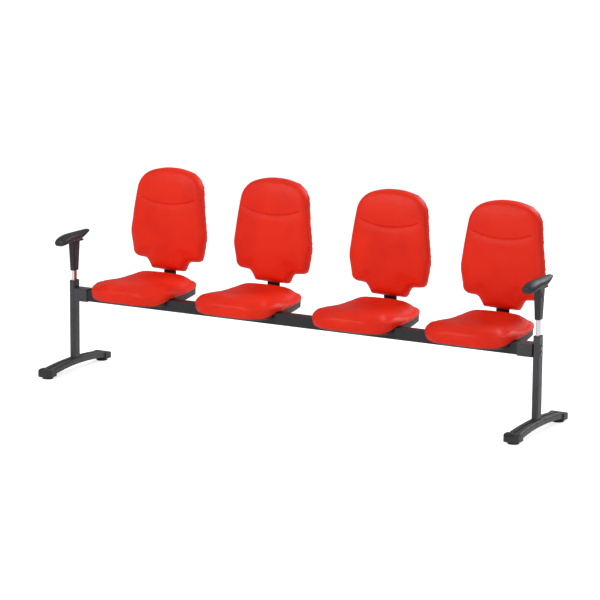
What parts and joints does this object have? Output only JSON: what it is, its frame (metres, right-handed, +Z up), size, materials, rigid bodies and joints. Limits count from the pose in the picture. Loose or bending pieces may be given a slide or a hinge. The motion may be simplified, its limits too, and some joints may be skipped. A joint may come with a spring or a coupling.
{
  "type": "beam seating",
  "caption": "Beam seating with padded seats and backs on one steel beam, T-shaped end frames with arched feet, height-adjustable armrests and levelling glides.",
  "frame": {"origin": "on the floor under the middle of the whole seating", "axes": "+X along the beam to the sitter's left, +Y to the rear, +Z up; a sitter faces -Y"},
  "size_m": [2.398, 0.6373, 0.9187],
  "materials": {
    "red_leatherette": "satin",
    "plywood": "matte",
    "black_shell": "matte",
    "black_steel": "satin",
    "end_frame_paint": "satin",
    "foot_casting": "satin",
    "end_plastic": "satin",
    "glide_plastic": "matte",
    "post_chrome": "polished",
    "arm_plastic": "satin",
    "arm_foam": "satin",
    "fastener_steel": "satin"
  },
  "bodies": {
    "frame": {"seat_cushion_1": "red_leatherette", "seat_board_1": "plywood", "seat_shell_1": "black_shell", "seat_mount_1": "black_steel", "back_bar_1": "black_steel", "back_cushion_1": "red_leatherette", "back_board_1": "plywood", "back_shell_1": "black_shell", "seat_cushion_2": "red_leatherette", "seat_board_2": "plywood", "seat_shell_2": "black_shell", "seat_mount_2": "black_steel", "back_bar_2": "black_steel", "back_cushion_2": "red_leatherette", "back_board_2": "plywood", "back_shell_2": "black_shell", "seat_cushion_3": "red_leatherette", "seat_board_3": "plywood", "seat_shell_3": "black_shell", "seat_mount_3": "black_steel", "back_bar_3": "black_steel", "back_cushion_3": "red_leatherette", "back_board_3": "plywood", "back_shell_3": "black_shell", "seat_cushion_4": "red_leatherette", "seat_board_4": "plywood", "seat_shell_4": "black_shell", "seat_mount_4": "black_steel", "back_bar_4": "black_steel", "back_cushion_4": "red_leatherette", "back_board_4": "plywood", "back_shell_4": "black_shell", "beam_bracket_left": "end_frame_paint", "upright_left": "end_frame_paint", "foot_left": "foot_casting", "foot_caps_left": "end_plastic", "arm_post_left": "post_chrome", "beam_bracket_right": "end_frame_paint", "upright_right": "end_frame_paint", "foot_right": "foot_casting", "foot_caps_right": "end_plastic", "arm_post_right": "post_chrome", "beam": "black_steel", "post_collars": "end_plastic", "clamp_bolts": "fastener_steel", "board_bolts": "fastener_steel", "shell_screws": "fastener_steel", "frame_bolts": "fastener_steel"},
    "arm_left": {"arm_sleeve_left": "arm_plastic", "arm_pad_left": "arm_foam", "arm_screws_left": "fastener_steel"},
    "button_left": {"arm_button_left": "arm_plastic"},
    "arm_right": {"arm_sleeve_right": "arm_plastic", "arm_pad_right": "arm_foam", "arm_screws_right": "fastener_steel"},
    "button_right": {"arm_button_right": "arm_plastic"},
    "glide_left_front": {"glide_left_front": "glide_plastic"},
    "glide_left_rear": {"glide_left_rear": "glide_plastic"},
    "glide_right_front": {"glide_right_front": "glide_plastic"},
    "glide_right_rear": {"glide_right_rear": "glide_plastic"}
  },
  "joints": [
    {"name": "arm_height_left", "type": "slide", "parent": "frame", "child": "arm_left", "axis": [0, 0, 1], "range_m": [-0.024, 0.036]},
    {"name": "arm_button_left_press", "type": "slide", "parent": "arm_left", "child": "button_left", "axis": [1, 0, 0], "range_m": [0, 0.002], "stiffness_N_per_m": 400, "springref_m": -0.001},
    {"name": "arm_height_right", "type": "slide", "parent": "frame", "child": "arm_right", "axis": [0, 0, 1], "range_m": [-0.048, 0.012]},
    {"name": "arm_button_right_press", "type": "slide", "parent": "arm_right", "child": "button_right", "axis": [-1, 0, 0], "range_m": [0, 0.002], "stiffness_N_per_m": 400, "springref_m": -0.001},
    {"name": "levelling_left_front", "type": "slide", "parent": "frame", "child": "glide_left_front", "axis": [0, 0, -1], "range_m": [0, 0.01]},
    {"name": "levelling_left_rear", "type": "slide", "parent": "frame", "child": "glide_left_rear", "axis": [0, 0, -1], "range_m": [0, 0.01]},
    {"name": "levelling_right_front", "type": "slide", "parent": "frame", "child": "glide_right_front", "axis": [0, 0, -1], "range_m": [0, 0.01]},
    {"name": "levelling_right_rear", "type": "slide", "parent": "frame", "child": "glide_right_rear", "axis": [0, 0, -1], "range_m": [0, 0.01]}
  ]
}
